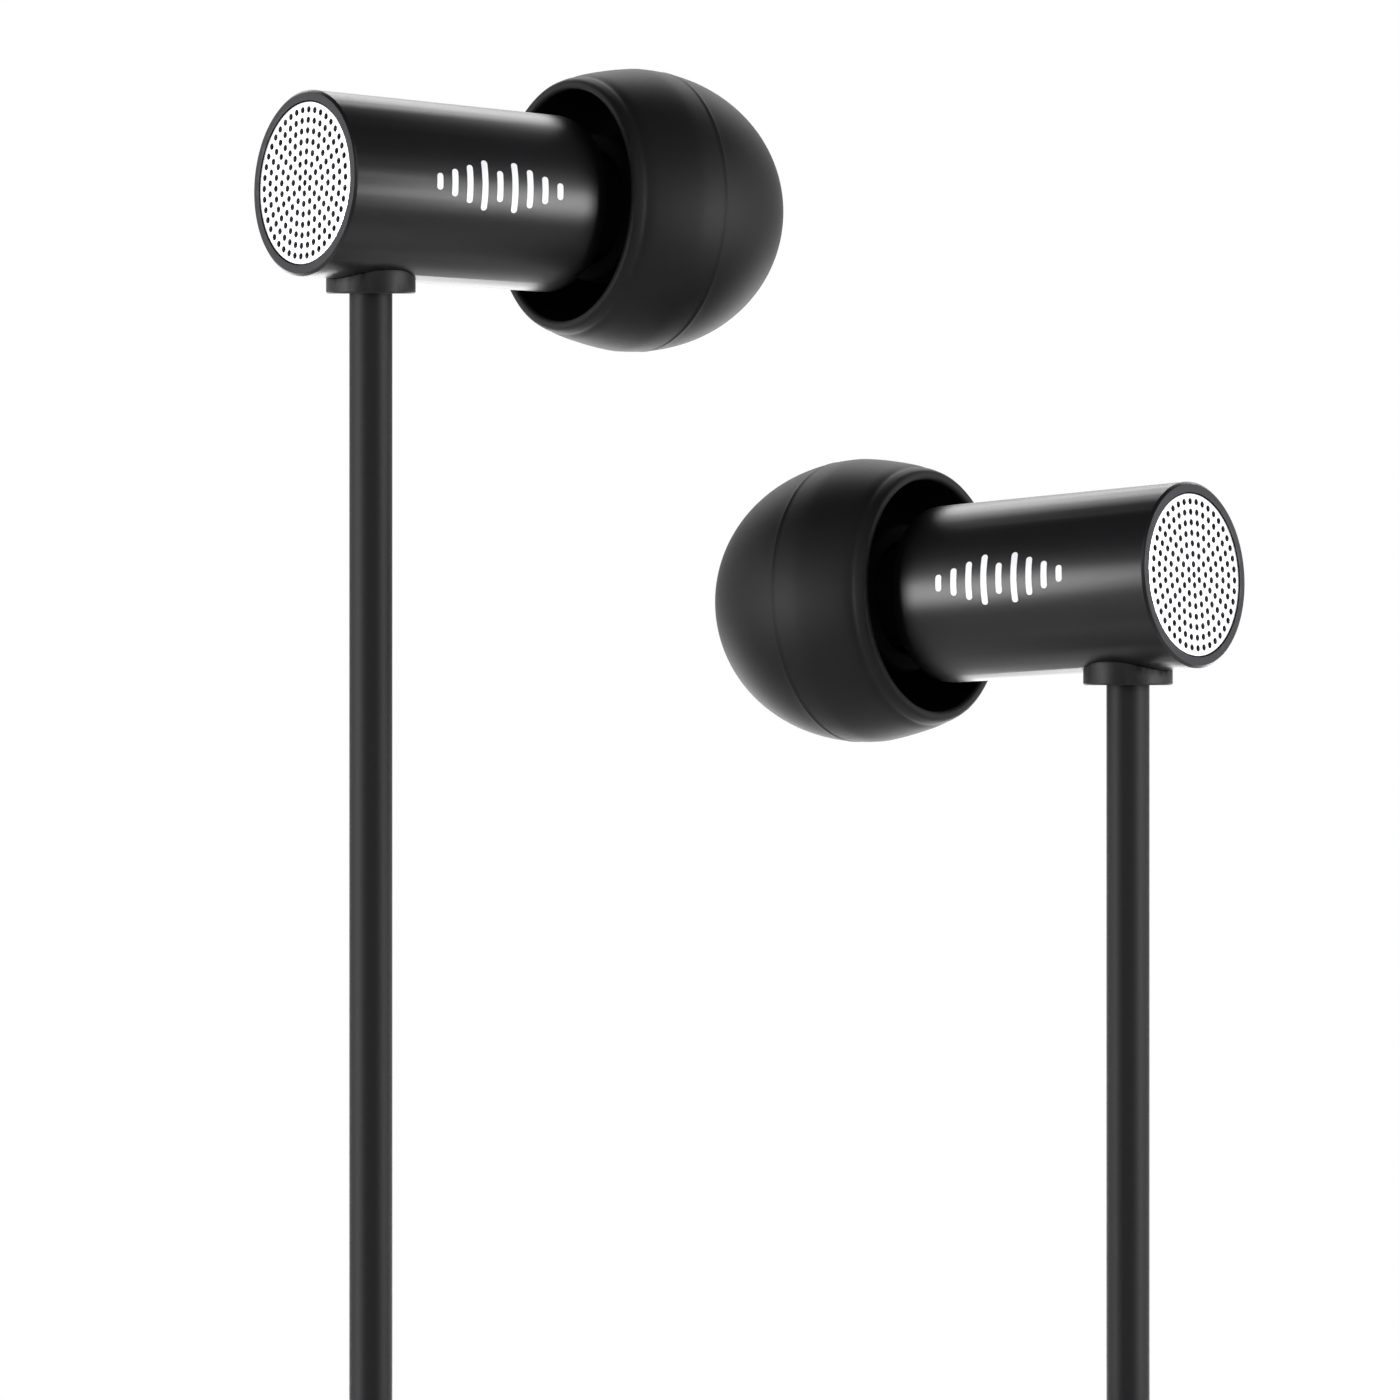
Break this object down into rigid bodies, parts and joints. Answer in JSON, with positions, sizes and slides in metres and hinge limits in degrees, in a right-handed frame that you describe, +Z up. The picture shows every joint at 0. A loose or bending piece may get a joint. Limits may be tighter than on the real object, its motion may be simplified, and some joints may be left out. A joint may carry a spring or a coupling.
{
  "type": "wired in-ear earphones",
  "caption": "Wired in-ear earphones: slim metal housings with perforated rear grilles, soft domed ear tips, a Y-shaped cord with slider and splitter, and a jack plug.",
  "frame": {"origin": "on the axis of the left ear tip, which the ear holds, where its dome would close, 0.45 mm in front of the sound outlet", "axes": "+X to the right across the pair, +Y away from the viewer and along the nozzles' lean, +Z up; the cords hang down -Z"},
  "size_m": [0.0413, 0.0239, 0.134],
  "materials": {
    "black_anodised_aluminium": "satin",
    "grille_steel": "fine brushed",
    "acoustic_cloth": "woven mesh",
    "inner_plastic": "moulded",
    "circuit_board": "solder mask",
    "enamelled_copper": "enamelled wire",
    "copper_crimp": "bright",
    "driver_steel": "plated",
    "magnet": "nickel plated",
    "diaphragm_film": "thin film",
    "foam_gasket": "closed cell",
    "silicone_dome": "satin silicone",
    "silicone_core": "matt silicone",
    "strain_relief_rubber": "moulded",
    "cord_jacket": "matt TPE",
    "soft_moulding": "matt",
    "plug_moulding": "fine texture",
    "plug_gold": "gold plated",
    "plug_insulator": "moulded",
    "tie_webbing": "hook and loop"
  },
  "bodies": {
    "earphones": {"coil_tie": "tie_webbing", "cord_left_coil": "cord_jacket", "cord_left_lower": "cord_jacket", "cord_left_upper": "cord_jacket", "cord_main_coil": "cord_jacket", "cord_main_lower": "cord_jacket", "cord_main_upper": "cord_jacket", "cord_right_coil": "cord_jacket", "cord_right_lower": "cord_jacket", "cord_right_upper": "cord_jacket", "left_cord_stop": "copper_crimp", "left_driver_cover": "driver_steel", "left_driver_frame": "inner_plastic", "left_driver_magnet": "magnet", "left_driver_pole_plate": "driver_steel", "left_driver_yoke": "driver_steel", "left_front_gasket": "foam_gasket", "left_housing": "black_anodised_aluminium", "left_lead_a": "enamelled_copper", "left_lead_b": "enamelled_copper", "left_nozzle_screen": "acoustic_cloth", "left_rear_grille": "grille_steel", "left_rear_screen": "acoustic_cloth", "left_retainer_ring": "inner_plastic", "left_strain_relief": "strain_relief_rubber", "left_terminal_board": "circuit_board", "plug_barrel": "plug_moulding", "plug_insulator_lower": "plug_insulator", "plug_insulator_upper": "plug_insulator", "plug_relief": "soft_moulding", "plug_ring": "plug_gold", "plug_sleeve": "plug_gold", "plug_tip": "plug_gold", "right_cord_stop": "copper_crimp", "right_driver_cover": "driver_steel", "right_driver_frame": "inner_plastic", "right_driver_magnet": "magnet", "right_driver_pole_plate": "driver_steel", "right_driver_yoke": "driver_steel", "right_front_gasket": "foam_gasket", "right_housing": "black_anodised_aluminium", "right_lead_a": "enamelled_copper", "right_lead_b": "enamelled_copper", "right_nozzle_screen": "acoustic_cloth", "right_rear_grille": "grille_steel", "right_rear_screen": "acoustic_cloth", "right_retainer_ring": "inner_plastic", "right_strain_relief": "strain_relief_rubber", "right_terminal_board": "circuit_board", "splitter": "soft_moulding"},
    "left_ear_tip": {"left_tip_core": "silicone_core", "left_tip_dome": "silicone_dome"},
    "right_ear_tip": {"right_tip_core": "silicone_core", "right_tip_dome": "silicone_dome"},
    "left_driver_cone": {"left_diaphragm": "diaphragm_film", "left_voice_coil": "enamelled_copper"},
    "right_driver_cone": {"right_diaphragm": "diaphragm_film", "right_voice_coil": "enamelled_copper"},
    "cord_slider": {"slider": "soft_moulding"}
  },
  "joints": [
    {"name": "left_tip_pull", "type": "slide", "parent": "earphones", "child": "left_ear_tip", "axis": [0.8297, 0.5544, -0.0645], "range_m": [0, 0.006]},
    {"name": "right_tip_pull", "type": "slide", "parent": "earphones", "child": "right_ear_tip", "axis": [-0.8297, 0.5544, -0.0645], "range_m": [0, 0.006]},
    {"name": "left_diaphragm_stroke", "type": "slide", "parent": "earphones", "child": "left_driver_cone", "axis": [0.8297, 0.5544, -0.0645], "range_m": [-0.00015, 0.00015], "stiffness_N_per_m": 100},
    {"name": "right_diaphragm_stroke", "type": "slide", "parent": "earphones", "child": "right_driver_cone", "axis": [-0.8297, 0.5544, -0.0645], "range_m": [-0.00015, 0.00015], "stiffness_N_per_m": 100},
    {"name": "slider_travel", "type": "slide", "parent": "earphones", "child": "cord_slider", "axis": [0, 0, 1], "range_m": [0, 0.006]}
  ]
}
